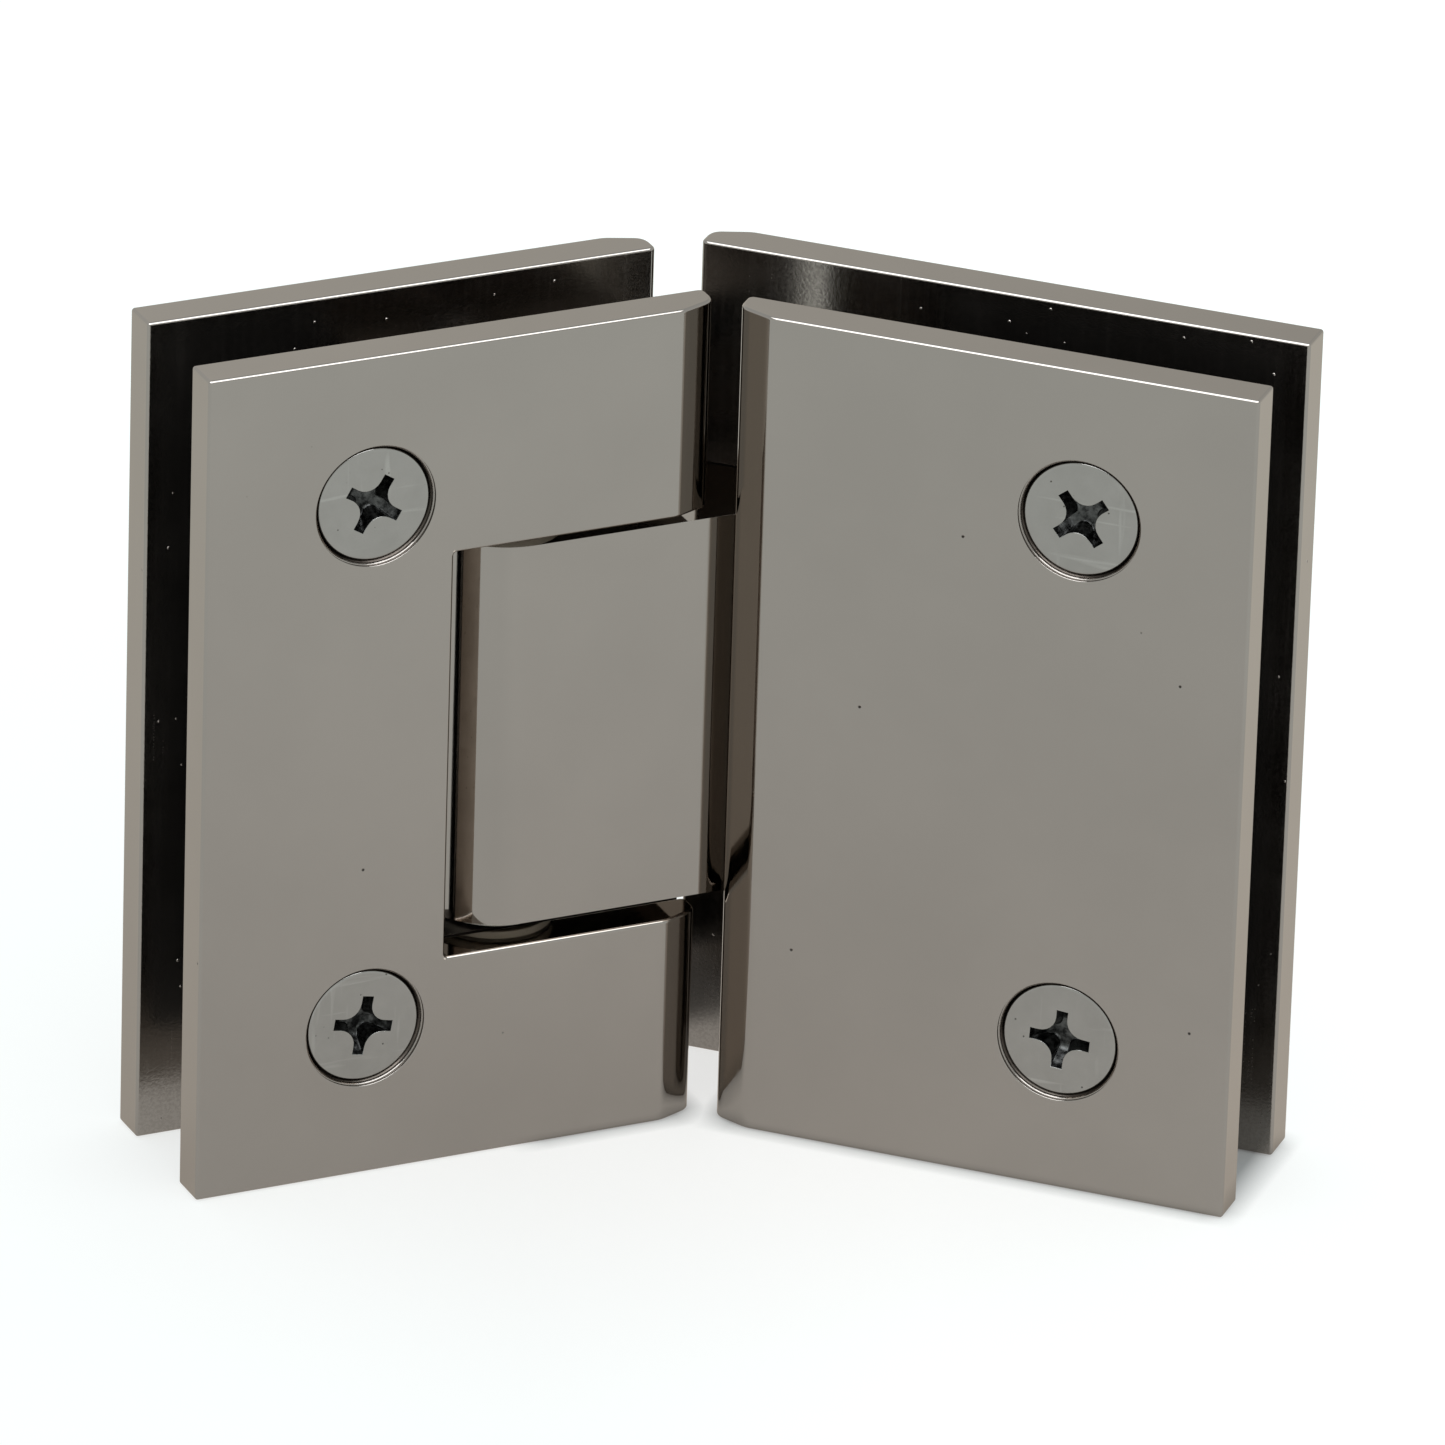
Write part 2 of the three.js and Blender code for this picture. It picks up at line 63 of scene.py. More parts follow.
# The looks of a glass-to-glass shower door hinge. Every piece is built in millimetres in its
# leaf's own frame, with the pin's axis at x = y = 0, and is then put into the row frame in
# metres. The door leaf runs along -X from the pin, the fixed leaf along +X, and +Y is the back.

MM = 0.001
BEND = math.radians(45)  # how far the leaves are from one flat wall
CENTRE = (cad_box[0] + cad_box[1]) / 2
PIN = next(j for j in frame["joints"] if j["name"] == "door_swing")["pos_m"]
PIN_FOOT = Matrix.Translation((PIN[0], PIN[1], 0))
SPACES = {
    "door": PIN_FOOT @ Matrix.Rotation(BEND / 2, 4, "Z"),
    "fixed": PIN_FOOT @ Matrix.Rotation(-BEND / 2, 4, "Z"),
}
BODIES = {"door": "door_leaf", "fixed": "fixed_leaf"}

# Camera
CAMERA_AZIMUTH = math.radians(-2.729)
CAMERA_ELEVATION = math.radians(24.447)
CAMERA_ROLL = math.radians(1.794)
CAMERA_TARGET = CENTRE + Vector((0.000762, 0.000162, -0.000181))
CAMERA_DISTANCE = 1.615
CAMERA_LENS = 398.2
SENSOR = 36

# Edges
STEP_ANGLE = math.radians(30)  # edges sharper than this are rounded
PLATE_EDGE = 0.34
NOSE_LENGTH = 3.9  # from a plate's tip to where its nose meets the face
NOSE_SLOPE = 0.4  # how steeply the nose's bevel falls away from the face
NOSE_ROUND = 1.1  # where the bevel ends and the rounded tip starts, from the tip
NOSE_DEPTH = 2.9  # how deep below the face the tip is square to it
NOSE_CORNER = 0.8  # rounding where the nose meets the inner face
NOSE_BLEND = 0.6  # softening of the line between the bevel and the face

# The notch in the door plates, and the pivot block
NOTCH_REACH = 9.7
BLOCK_RADIUS = 8.3
BLOCK_EDGE = 0.4
FOOT_FRONT = 11.0
FIT = 0.3
OVER = 1

# Screws: radii, head rim, recess and thread
CLAMP = {"head": 6.2, "shank": 3, "sunk": 0.4, "rim": 0.4, "arm": 3.2, "web": 0.58,
         "root": 2.35, "deep": 2.4, "pitch": 1.0, "thread": 0.5, "sides": 72}
FIXING = {"head": 3.4, "shank": 1.75, "sunk": 0.2, "rim": 0.3, "arm": 1.8, "web": 0.35,
          "root": 1.3, "deep": 1.5, "pitch": 0.7, "thread": 0.32, "sides": 48}
HEAD_ROOM = 0.5  # between a clamp screw's head and the mouth of its seat
HEAD_SUNK = 0.58  # the head's top below the plate's face
SEAT_CHAMFER = 0.09  # round a seat's mouth
SEAT_GROOVE = 0.07  # the turning marks round it
SEAT_LEDGE = 0.2  # the step between the mouth and the seat
TAPPED_DEPTH = 3.4
CLAMP_TURNS = {"door_upper": 31, "door_lower": 10, "fixed_upper": -38, "fixed_lower": 4}
LEVELS = ("upper", "lower")

# The pieces inside
PIN_RADIUS = 4.5
PIN_END_RADIUS = 3.5
FLAT_REACH = 3.9  # pin axis to its detent flats
FLAT_HALF_HEIGHT = 5
SET_SCREW_RADIUS = 2
BUSH_RADII = (4.8, 6.0)
WASHER_RADII = (4.8, 6.2)
PLUNGER_RADIUS = 3.5
SPIGOT_RADIUS = 1.5
SPIGOT_LENGTH = 2
SPRING_WIRE = 0.45
SPRING_TURNS = 5
SPRING_CLOSING = 0.035  # how far the end coils bunch up, as a share of the length
GASKET_HOLE = 4.2
GASKET_CORNER = 1.5

# Looks
EDGE_TINT = (0.84, 0.77, 0.71, 1)  # dark nickel turns brown when seen almost edge-on
FLOOR_GLOW = 0.78
PAINTED_SHADE_LEFT_GLOW = 0.94  # painted shade: the glow of the floor left of the hinge, against the right
PAINTED_SHADOW_GLOW = 0.15  # painted shadow: the glow of the floor under the fixed leaf and the bend, against the open floor
PAINTED_SHADOW_FADE = 0.002  # half the width of the painted shadow's soft edge, in metres
FLOOR_TONES = ((0.29, 0.306, 0.304, 1), (0.31, 0.326, 0.325, 1))
# painted shade: the floor's glow close to its middle is darker and warmer than the open floor's,
# standing in for shade round the hinge
PAINTED_SHADE_GLOW_NEAR = (0.94, 0.93, 0.915, 1)
GLOW_FAR = (1, 1.056, 1.05, 1)
SKY_LEVEL = (1.02, 1.077, 1.08, 1)
SKY_OVERHEAD = (0.85, 0.908, 0.935, 1)
PANEL_BRIGHT, PANEL_DIM = 1.1, 0.93  # the two sides of the soft edge behind the hinge
LIGHT_PLACE = (0, -0.45, 1.05)
LIGHT_SIZE = (1.6, 1.15)
LIGHT_RADIANCE = 5
LIGHT_TINT = (0.95, 1.0, 1.06)


def add_camera():
    """The camera, from its place round the object, its roll and its distance."""
    flat = math.cos(CAMERA_ELEVATION)
    back = Vector((math.sin(CAMERA_AZIMUTH) * flat, -math.cos(CAMERA_AZIMUTH) * flat,
                   math.sin(CAMERA_ELEVATION)))
    level = Vector((math.cos(CAMERA_AZIMUTH), math.sin(CAMERA_AZIMUTH), 0))
    up = back.cross(level)
    right = level * math.cos(CAMERA_ROLL) + up * math.sin(CAMERA_ROLL)
    top = up * math.cos(CAMERA_ROLL) - level * math.sin(CAMERA_ROLL)
    data = bpy.data.cameras.new("camera")
    data.sensor_width = SENSOR
    data.lens = CAMERA_LENS
    data.clip_start = 0.01
    data.clip_end = 100
    camera = bpy.data.objects.new("camera", data)
    turn = Matrix((right, top, back)).transposed().to_4x4()
    camera.matrix_world = Matrix.Translation(CAMERA_TARGET + back * CAMERA_DISTANCE) @ turn
    bpy.context.scene.collection.objects.link(camera)
    bpy.context.scene.camera = camera


add_camera()


# Materials

class Graph:
    """A node tree, with short ways to add and join its nodes."""

    def __init__(self, tree):
        self.tree = tree

    def add(self, kind, inputs=None, **properties):
        node = self.tree.nodes.new(kind)
        for key, value in properties.items():
            setattr(node, key, value)
        for key, value in (inputs or {}).items():
            self.feed(node.inputs[key], value)
        return node

    def feed(self, socket, value):
        if isinstance(value, bpy.types.NodeSocket):
            self.tree.links.new(value, socket)
        else:
            socket.default_value = value

    def span(self, value, low, high, to_low, to_high):
        inputs = {"Value": value, "From Min": low, "From Max": high, "To Min": to_low,
                  "To Max": to_high}
        return self.add("ShaderNodeMapRange", inputs).outputs["Result"]

    def maths(self, operation, a, b):
        node = self.add("ShaderNodeMath", operation=operation)
        self.feed(node.inputs[0], a)
        self.feed(node.inputs[1], b)
        return node.outputs["Value"]

    def mix(self, share, a, b):
        node = self.add("ShaderNodeMix", data_type="RGBA")
        self.feed(node.inputs["Factor"], share)
        for socket, value in zip([s for s in node.inputs if s.type == "RGBA"], (a, b)):
            self.feed(socket, value)
        return next(s for s in node.outputs if s.type == "RGBA")


class MaterialGraph(Graph):
    """A material's node tree, with the patterns its looks are made of."""

    def __init__(self, name):
        self.material = bpy.data.materials.new(name)
        self.material.use_nodes = True
        super().__init__(self.material.node_tree)
        self.shader = next(n for n in self.tree.nodes if n.type == "BSDF_PRINCIPLED")
        self.coords = self.add("ShaderNodeTexCoord").outputs["Object"]

    def shade(self, **values):
        """Sets the shader's sockets. Underscores stand for the spaces in their names."""
        for key, value in values.items():
            self.feed(self.shader.inputs[key.replace("_", " ")], value)

    def noise(self, scale, detail=3.0, rough=0.5, vector=None):
        inputs = {"Vector": vector or self.coords, "Scale": scale, "Detail": detail,
                  "Roughness": rough}
        return self.add("ShaderNodeTexNoise", inputs).outputs["Fac"]

    def stretched(self, scale, turn=(0, 0, 0)):
        inputs = {"Vector": self.coords, "Scale": scale, "Rotation": turn}
        return self.add("ShaderNodeMapping", inputs).outputs["Vector"]

    def spots(self, scale, size, soft=0.5):
        """1 inside small scattered spots and 0 elsewhere."""
        cells = self.add("ShaderNodeTexVoronoi", {"Vector": self.coords, "Scale": scale})
        return self.span(cells.outputs["Distance"], size, size * soft, 0, 1)

    def bump(self, *layers):
        """Stacks layers of (height, distance in metres) into one normal."""
        normal = None
        for height, distance in layers:
            inputs = {"Height": height, "Distance": distance, "Strength": 1.0}
            if normal:
                inputs["Normal"] = normal
            normal = self.add("ShaderNodeBump", inputs).outputs["Normal"]
        return normal


def colour(r, g, b):
    return (r, g, b, 1)



def polished_nickel(name, speckle=0.0, roughness=(0.03, 0.07)):
    """Mirror-polished dark nickel: faint cloudiness, hairlines and a few pits. Speckle adds
    the grain that casting leaves on faces nobody polishes fully."""
    g = MaterialGraph(name)
    cloud = g.noise(55, 3, 0.6)
    hair = g.noise(1, 1, 0.7, g.stretched((2600, 2600, 60), (0.05, 0.02, 0)))
    pits = g.spots(150, 0.03)
    tone = g.mix(g.span(cloud, 0.35, 0.65, 0, 1), colour(0.2555, 0.231, 0.207),
                 colour(0.2655, 0.240, 0.215))
    tone = g.mix(pits, tone, colour(0.02, 0.017, 0.015))
    low, high = roughness
    rough = g.span(cloud, 0.3, 0.7, low, high)
    rough = g.maths("ADD", rough, g.span(hair, 0.5, 0.75, 0, 0.04))
    layers = [(g.noise(45, 1, 0.4), 0.00003), (hair, 0.00000025),
              (g.maths("SUBTRACT", 1.0, pits), 0.00004)]
    if speckle:
        grain = g.noise(3400, 2, 0.6)
        dull = g.span(grain, 0.42, 0.6, 0, 1)
        tone = g.mix(g.maths("MULTIPLY", dull, 0.3), tone, colour(0.17, 0.148, 0.128))
        rough = g.maths("ADD", rough, g.maths("MULTIPLY", dull, 0.05))
        glints = g.spots(420, 0.07)
        layers.append((grain, 0.000012 * speckle))
        layers.append((g.noise(260, 3, 0.6), 0.00001 * speckle))
        layers.append((glints, 0.00008 * speckle))
    g.shade(Base_Color=tone, Metallic=1.0, Roughness=rough, Specular_Tint=EDGE_TINT)
    g.shade(Normal=g.bump(*layers))
    return g.material


def scratched_nickel(name):
    """The clamp screws' dark nickel plate: faint driver scratches, pits and a dull bloom."""
    g = MaterialGraph(name)
    along = g.noise(1, 2, 0.75, g.stretched((700, 700, 70), (0.3, 0.5, 0)))
    across = g.noise(1, 2, 0.75, g.stretched((60, 60, 900), (-0.4, 0.2, 0)))
    pits = g.spots(620, 0.075)
    bloom = g.noise(300, 4, 0.6)
    tone = g.mix(g.span(bloom, 0.3, 0.7, 0, 1), colour(0.238, 0.226, 0.208),
                 colour(0.262, 0.249, 0.230))
    tone = g.mix(g.maths("MULTIPLY", pits, 0.8), tone, colour(0.04, 0.037, 0.032))
    lines = g.maths("MAXIMUM", g.span(along, 0.63, 0.74, 0, 1), g.span(across, 0.63, 0.74, 0, 1))
    tone = g.mix(g.maths("MULTIPLY", lines, 0.3), tone, colour(0.42, 0.41, 0.38))
    rough = g.maths("ADD", g.span(bloom, 0.3, 0.7, 0.06, 0.12), g.maths("MULTIPLY", lines, 0.1))
    g.shade(Base_Color=tone, Metallic=1.0, Roughness=rough)
    g.shade(Normal=g.bump((along, 0.000004), (across, 0.000004), (bloom, 0.000004),
                          (g.maths("SUBTRACT", 1.0, pits), 0.00003)))
    return g.material


def recess_painted_shade(name):
    """The inside of a driver recess: near-black nickel as painted shade, with a dull, scuffed
    grain.
    """
    g = MaterialGraph(name)
    grain = g.noise(1500, 3, 0.6)
    tone = g.mix(g.span(grain, 0.4, 0.65, 0, 1), colour(0.025, 0.025, 0.024),
                 colour(0.1, 0.1, 0.095))
    g.shade(Base_Color=tone, Metallic=1.0, Roughness=g.span(grain, 0.3, 0.7, 0.22, 0.4))
    g.shade(Normal=g.bump((grain, 0.00003)))
    return g.material


def turned_metal(name, dark, light, scale, roughness):
    """Machined metal: fine tool lines round about and along, and a cloudy tarnish."""
    g = MaterialGraph(name)
    lines = g.noise(1, 3, 0.7, g.stretched((120, 120, scale)))
    cloud = g.noise(160, 5, 0.6)
    pits = g.spots(700, 0.1)
    tone = g.mix(g.span(cloud, 0.35, 0.65, 0, 1), dark, light)
    tone = g.mix(g.maths("MULTIPLY", pits, 0.5), tone, colour(0.03, 0.028, 0.025))
    low, high = roughness
    rough = g.span(lines, 0.35, 0.65, low, high)
    g.shade(Base_Color=tone, Metallic=1.0, Roughness=rough)
    g.shade(Normal=g.bump((lines, 0.00001), (cloud, 0.000008)))
    return g.material


def moulded(name, dark, light, roughness, grain):
    """Rubber or nylon: a soft mottle, a fine moulded grain and dust-sized specks."""
    g = MaterialGraph(name)
    mottle = g.noise(240, 4, 0.6)
    texture = g.noise(grain, 3, 0.7)
    specks = g.spots(1500, 0.16)
    tone = g.mix(g.span(mottle, 0.35, 0.65, 0, 1), dark, light)
    tone = g.mix(g.maths("MULTIPLY", specks, 0.3), tone, colour(0.3, 0.29, 0.28))
    low, high = roughness
    g.shade(Base_Color=tone, Roughness=g.span(texture, 0.3, 0.7, low, high))
    g.shade(Normal=g.bump((texture, 0.00002), (mottle, 0.00002)))
    return g.material


MATERIALS = {
    "black_nickel": polished_nickel("black_nickel_polished"),
    "black_nickel_inner": polished_nickel("black_nickel_inner", 1.0, (0.12, 0.22)),
    "milled": turned_metal("black_nickel_milled", colour(0.5, 0.43, 0.37),
                           colour(0.6, 0.52, 0.45), 900, (0.35, 0.5)),
    # painted shade: near-black nickel for the pin holders and the screw seats' walls, where shade
    # falls between the parts
    "painted_shade_nickel": turned_metal("black_nickel_painted_shade", colour(0.07, 0.06, 0.05),
                              colour(0.12, 0.1, 0.085), 900, (0.24, 0.36)),
    "screw_nickel": scratched_nickel("screw_nickel_scratched"),
    # painted shade: near-black inside the screws' driver recesses
    "recess": recess_painted_shade("driver_recess_painted_shade"),
    "steel": turned_metal("steel_zinc", colour(0.42, 0.43, 0.44), colour(0.56, 0.56, 0.55),
                          1500, (0.2, 0.34)),
    "ground_steel": turned_metal("steel_ground", colour(0.48, 0.48, 0.48),
                                 colour(0.6, 0.6, 0.6), 2400, (0.12, 0.24)),
    "brass": turned_metal("brass_machined", colour(0.6, 0.42, 0.17), colour(0.72, 0.53, 0.25),
                          1800, (0.16, 0.3)),
    "gasket_rubber": moulded("rubber_black", colour(0.012, 0.012, 0.013),
                             colour(0.022, 0.022, 0.023), (0.55, 0.75), 2600),
    "nylon": moulded("nylon_natural", colour(0.68, 0.65, 0.57), colour(0.76, 0.73, 0.66),
                     (0.35, 0.5), 3200),
}


# Mesh building

def loft(loops, closed=False):
    """A skin through loops of points with the same count each. Its two ends are flat, or
    joined to each other where it is closed."""
    mesh = bmesh.new()
    rows = [[mesh.verts.new(point) for point in loop] for loop in loops]
    pairs = list(zip(rows, rows[1:])) + ([(rows[-1], rows[0])] if closed else [])
    for low, high in pairs:
        for i, corner in enumerate(low):
            j = (i + 1) % len(low)
            mesh.faces.new((corner, low[j], high[j], high[i]))
    if not closed:
        mesh.faces.new(rows[0])
        mesh.faces.new(rows[-1])
    bmesh.ops.recalc_face_normals(mesh, faces=mesh.faces)
    return mesh


def to_object(name, mesh):
    data = bpy.data.meshes.new(name)
    mesh.to_mesh(data)
    mesh.free()
    made = bpy.data.objects.new(name, data)
    bpy.context.scene.collection.objects.link(made)
    return made


def apply_modifiers(piece):
    bpy.context.view_layer.update()
    shown = piece.evaluated_get(bpy.context.evaluated_depsgraph_get())
    mesh = bpy.data.meshes.new_from_object(shown)
    old = piece.data
    piece.modifiers.clear()
    piece.data = mesh
    bpy.data.meshes.remove(old)


def carve(piece, tools):
    """Takes the tools, given as bmesh solids, out of the piece."""
    cutters = [to_object("cutter", tool) for tool in tools]
    for cutter in cutters:
        modifier = piece.modifiers.new("cut", "BOOLEAN")
        modifier.operation = "DIFFERENCE"
        modifier.solver = "EXACT"
        modifier.object = cutter
    apply_modifiers(piece)
    for cutter in cutters:
        data = cutter.data
        bpy.data.objects.remove(cutter)
        bpy.data.meshes.remove(data)


def soften(piece, width, segments=3, where=None):
    """Rounds the sharp edges whose middle passes the test where, or all of them."""
    mesh = bmesh.new()
    mesh.from_mesh(piece.data)
    bmesh.ops.remove_doubles(mesh, verts=mesh.verts, dist=0.0005)
    bmesh.ops.dissolve_degenerate(mesh, edges=mesh.edges, dist=0.0005)
    layer = mesh.edges.layers.float.new("bevel_weight_edge")
    for edge in mesh.edges:
        middle = (edge.verts[0].co + edge.verts[1].co) / 2
        sharp = len(edge.link_faces) == 2 and edge.calc_face_angle(0) > STEP_ANGLE
        edge[layer] = float(sharp and (where is None or where(middle)))
    mesh.to_mesh(piece.data)
    mesh.free()
    modifier = piece.modifiers.new("edges", "BEVEL")
    modifier.width = width
    modifier.segments = segments
    modifier.limit_method = "WEIGHT"
    modifier.miter_outer = "MITER_ARC"
    modifier.use_clamp_overlap = True
    apply_modifiers(piece)


def shade_smoothly(piece):
    """Smooth shading in which the broad faces stay flat."""
    for polygon in piece.data.polygons:
        polygon.use_smooth = True
    modifier = piece.modifiers.new("normals", "WEIGHTED_NORMAL")
    modifier.mode = "FACE_AREA"
    modifier.weight = 100
    modifier.keep_sharp = True
    apply_modifiers(piece)


def local_box(node, space):
    """The lowest and highest corner of a CAD node in a leaf's frame, in millimetres."""
    inverse = SPACES[space].inverted()
    points = [inverse @ v.co / MM for v in frame["nodes"][node].data.vertices]
    return [Vector([pick(p[i] for p in points) for i in range(3)]) for pick in (min, max)]


def place(piece, node, space, slot, body=None, others=(), pick=None, finish=None):
    """Shades the piece, puts it in the row frame and hangs it on its body. Its material is
    finish, or the slot's own. Pick gives a face 0 for that, or the number of one of the
    others."""
    shade_smoothly(piece)
    piece.data.materials.clear()
    for name in (finish or slot, *others):
        piece.data.materials.append(MATERIALS[name])
    if pick:
        for polygon in piece.data.polygons:
            polygon.material_index = int(pick(polygon))
    piece.data.transform(SPACES[space] @ Matrix.Scale(MM, 4))
    piece.name = f"{node}_detailed"
    piece.data.name = piece.name
    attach(piece, body or BODIES[space])
    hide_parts(node)
    return piece


def circle(radius, count):
    turns = [2 * math.pi * i / count for i in range(count)]
    return [(radius * math.cos(a), radius * math.sin(a)) for a in turns]


def on_axis(axis, u, v, along):
    """A point with the coordinate along on the axis, and u and v across it."""
    return {"X": (along, u, v), "Y": (u, along, v), "Z": (u, v, along)}[axis]


def lathe(axis, profile, sides, centre=(0, 0, 0), closed=False):
    """Turns a profile of (radius, place along the axis) round the axis through centre."""
    middle = Vector(centre)
    loops = [[middle + Vector(on_axis(axis, u, v, along)) for u, v in circle(radius, sides)]
             for radius, along in profile]
    return loft(loops, closed)


def eased(profile, radius, steps=3, closed=False):
    """Rounds a profile's corners with short curves that start radius away from each."""
    points = [Vector(p) for p in profile]
    last = len(points) - 1
    result = []
    for i, corner in enumerate(points):
        if not closed and i in (0, last):
            result.append(tuple(corner))
            continue
        before, after = points[i - 1], points[(i + 1) % len(points)]
        to_before, to_after = before - corner, after - corner
        start = corner + to_before.normalized() * min(radius, to_before.length * 0.4)
        end = corner + to_after.normalized() * min(radius, to_after.length * 0.4)
        for step in range(steps + 1):
            t = step / steps
            curve = start * (1 - t) ** 2 + corner * 2 * t * (1 - t) + end * t ** 2
            result.append(tuple(curve))
    return result


def prism(axis, outline, low, high):
    """An outline of (u, v) pushed along the axis from low to high."""
    return loft([[on_axis(axis, u, v, along) for u, v in outline] for along in (low, high)])


def box_solid(low, high):
    outline = [(low[0], low[1]), (high[0], low[1]), (high[0], high[1]), (low[0], high[1])]
    return prism("Z", outline, low[2], high[2])


def rounded_outline(low, high, radius, steps=6):
    """A rectangle with rounded corners."""
    corners = [(high[0] - radius, high[1] - radius, 0), (low[0] + radius, high[1] - radius, 1),
               (low[0] + radius, low[1] + radius, 2), (high[0] - radius, low[1] + radius, 3)]
    points = []
    for u, v, quarter in corners:
        for step in range(steps + 1):
            turn = (quarter + step / steps) * math.pi / 2
            points.append((u + radius * math.cos(turn), v + radius * math.sin(turn)))
    return points


# Plates

HOLDER_BOXES = {level: local_box(f"{level}_pin_holder", "door") for level in LEVELS}
NOTCH_TOP = HOLDER_BOXES["upper"][0].z
NOTCH_BOTTOM = HOLDER_BOXES["lower"][1].z


def bezier(start, middle, end, steps):
    """Points on a quadratic curve."""
    shares = [step / steps for step in range(steps + 1)]
    return [tuple(start[i] * (1 - t) ** 2 + middle[i] * 2 * t * (1 - t) + end[i] * t ** 2
                  for i in (0, 1)) for t in shares]


def plate_plan(nose_x, outer_x, face_y, inner_y):
    """A plate's outline seen from above: a bevelled nose with a rounded tip at the bend,
    square at its end. Along and deep are measured from the tip and from the face."""
    outward = math.copysign(1, outer_x - nose_x)
    inward = math.copysign(1, inner_y - face_y)
    thickness = abs(inner_y - face_y)
    bevel_end = (NOSE_ROUND, (NOSE_LENGTH - NOSE_ROUND) * NOSE_SLOPE)
    corner = bezier((NOSE_CORNER, thickness), (0, thickness), (0, thickness - NOSE_CORNER), 8)
    tip = bezier((0, NOSE_DEPTH), (0, NOSE_LENGTH * NOSE_SLOPE), bevel_end, 14)
    blend = bezier((NOSE_LENGTH - NOSE_BLEND, NOSE_BLEND * NOSE_SLOPE), (NOSE_LENGTH, 0),
                   (NOSE_LENGTH + NOSE_BLEND, 0), 4)
    nose = [(nose_x + outward * along, face_y + inward * deep)
            for along, deep in corner + tip + blend]
    return nose + [(outer_x, face_y), (outer_x, inner_y)]


def countersink(kind, x, z, face_y, depth, sides):
    """The seat and through hole of a countersunk screw, as a solid to be cut away."""
    mouth, shank = kind["head"] + FIT, kind["shank"] + FIT
    seat, wall = mouth - SEAT_LEDGE, kind["sunk"] + kind["rim"]
    profile = [(mouth + SEAT_CHAMFER, face_y - OVER), (mouth + SEAT_CHAMFER, face_y),
               (mouth, face_y + SEAT_CHAMFER)]
    for step in range(1, 5):
        groove = mouth + SEAT_GROOVE * (step % 2)
        profile.append((groove, face_y + SEAT_CHAMFER + wall * 0.07 * step))
    profile += [(mouth, face_y + wall * 0.5), (seat, face_y + wall * 0.52),
                (seat, face_y + wall), (shank, face_y + wall + kind["head"] - kind["shank"]),
                (shank, face_y + depth + OVER)]
    return lathe("Y", profile, sides, (x, 0, z))


def tapped_hole(kind, x, z, inner_y):
    """A blind threaded hole, as a solid to be cut away."""
    radius = kind["shank"] + 0.05
    profile = [(radius + 0.5, inner_y - OVER), (radius + 0.5, inner_y), (radius, inner_y + 0.5)]
    turns = 2 * int((TAPPED_DEPTH - 1) / kind["pitch"])
    for i in range(turns):
        along = inner_y + 0.5 + (i + 1) * kind["pitch"] / 2
        profile.append((radius + (0.25 if i % 2 else 0), along))
    profile += [(radius, inner_y + TAPPED_DEPTH - 0.1), (0.3, inner_y + TAPPED_DEPTH)]
    return lathe("Y", profile, 48, (x, 0, z))


def screw_centre(node, space):
    low, high = local_box(node, space)
    return (low.x + high.x) / 2, (low.z + high.z) / 2


def build_plate(space, side):
    """side is front or back."""
    node = f"{space}_{side}_plate"
    low, high = local_box(node, space)
    nose_x, outer_x = (high.x, low.x) if space == "door" else (low.x, high.x)
    face_y, inner_y = (low.y, high.y) if side == "front" else (high.y, low.y)
    plan = plate_plan(nose_x, outer_x, face_y, inner_y)
    piece = to_object(node, prism("Z", plan, low.z, high.z))
    if space == "door":
        far = Vector((nose_x + OVER, high.y + OVER, NOTCH_TOP))
        carve(piece, [box_solid((-NOTCH_REACH, low.y - OVER, NOTCH_BOTTOM), far)])
    soften(piece, PLATE_EDGE, 4)
    clamps = [screw_centre(f"{space}_{level}_clamp_screw", space) for level in LEVELS]
    if side == "front":
        tools = [countersink(CLAMP, x, z, face_y, high.y - low.y, 96) for x, z in clamps]
    else:
        small = [f"{level}_block_screw" for level in LEVELS]
        if space == "door":
            small = [f"{level}_holder_{end}_screw" for level in LEVELS
                     for end in ("inner", "outer")]
        tools = [tapped_hole(CLAMP, x, z, inner_y) for x, z in clamps]
        tools += [tapped_hole(FIXING, *screw_centre(n, space), inner_y) for n in small]
    carve(piece, tools)

    wall = CLAMP["sunk"] + CLAMP["rim"]

    def which(polygon):
        """1 on the inner face, 2 on the notch's closed end, 3 for the painted shade inside the
        screw seats except on their ledges, 0 elsewhere."""
        x, y, z = polygon.center
        if abs(y - inner_y) < 0.02 and abs(polygon.normal.y) > 0.9:
            return 1
        if space == "door" and abs(x + NOTCH_REACH) < 0.02:
            return 2
        seats = (math.hypot(x - u, z - v) < CLAMP["head"] + FIT + SEAT_CHAMFER for u, v in clamps)
        deep = abs(y - face_y)
        ledge = wall * 0.49 < deep < wall * 0.53
        return 3 * (side == "front" and deep > SEAT_CHAMFER and not ledge and any(seats))

    others = ("black_nickel_inner", "milled", "painted_shade_nickel")
    place(piece, node, space, "black_nickel", None, others, which)


def build_gasket(space, side):
    node = f"{space}_{side}_gasket"
    low, high = local_box(node, space)
    outline = rounded_outline((low.x, low.z), (high.x, high.z), GASKET_CORNER)
    piece = to_object(node, prism("Y", outline, low.y, high.y))
    centres = [screw_centre(f"{space}_{level}_clamp_screw", space) for level in LEVELS]
    hole = [(GASKET_HOLE, low.y - OVER), (GASKET_HOLE, high.y + OVER)]
    carve(piece, [lathe("Y", hole, 64, (x, 0, z)) for x, z in centres])
    soften(piece, 0.09, 2)
    place(piece, node, space, "gasket_rubber")


# Screws

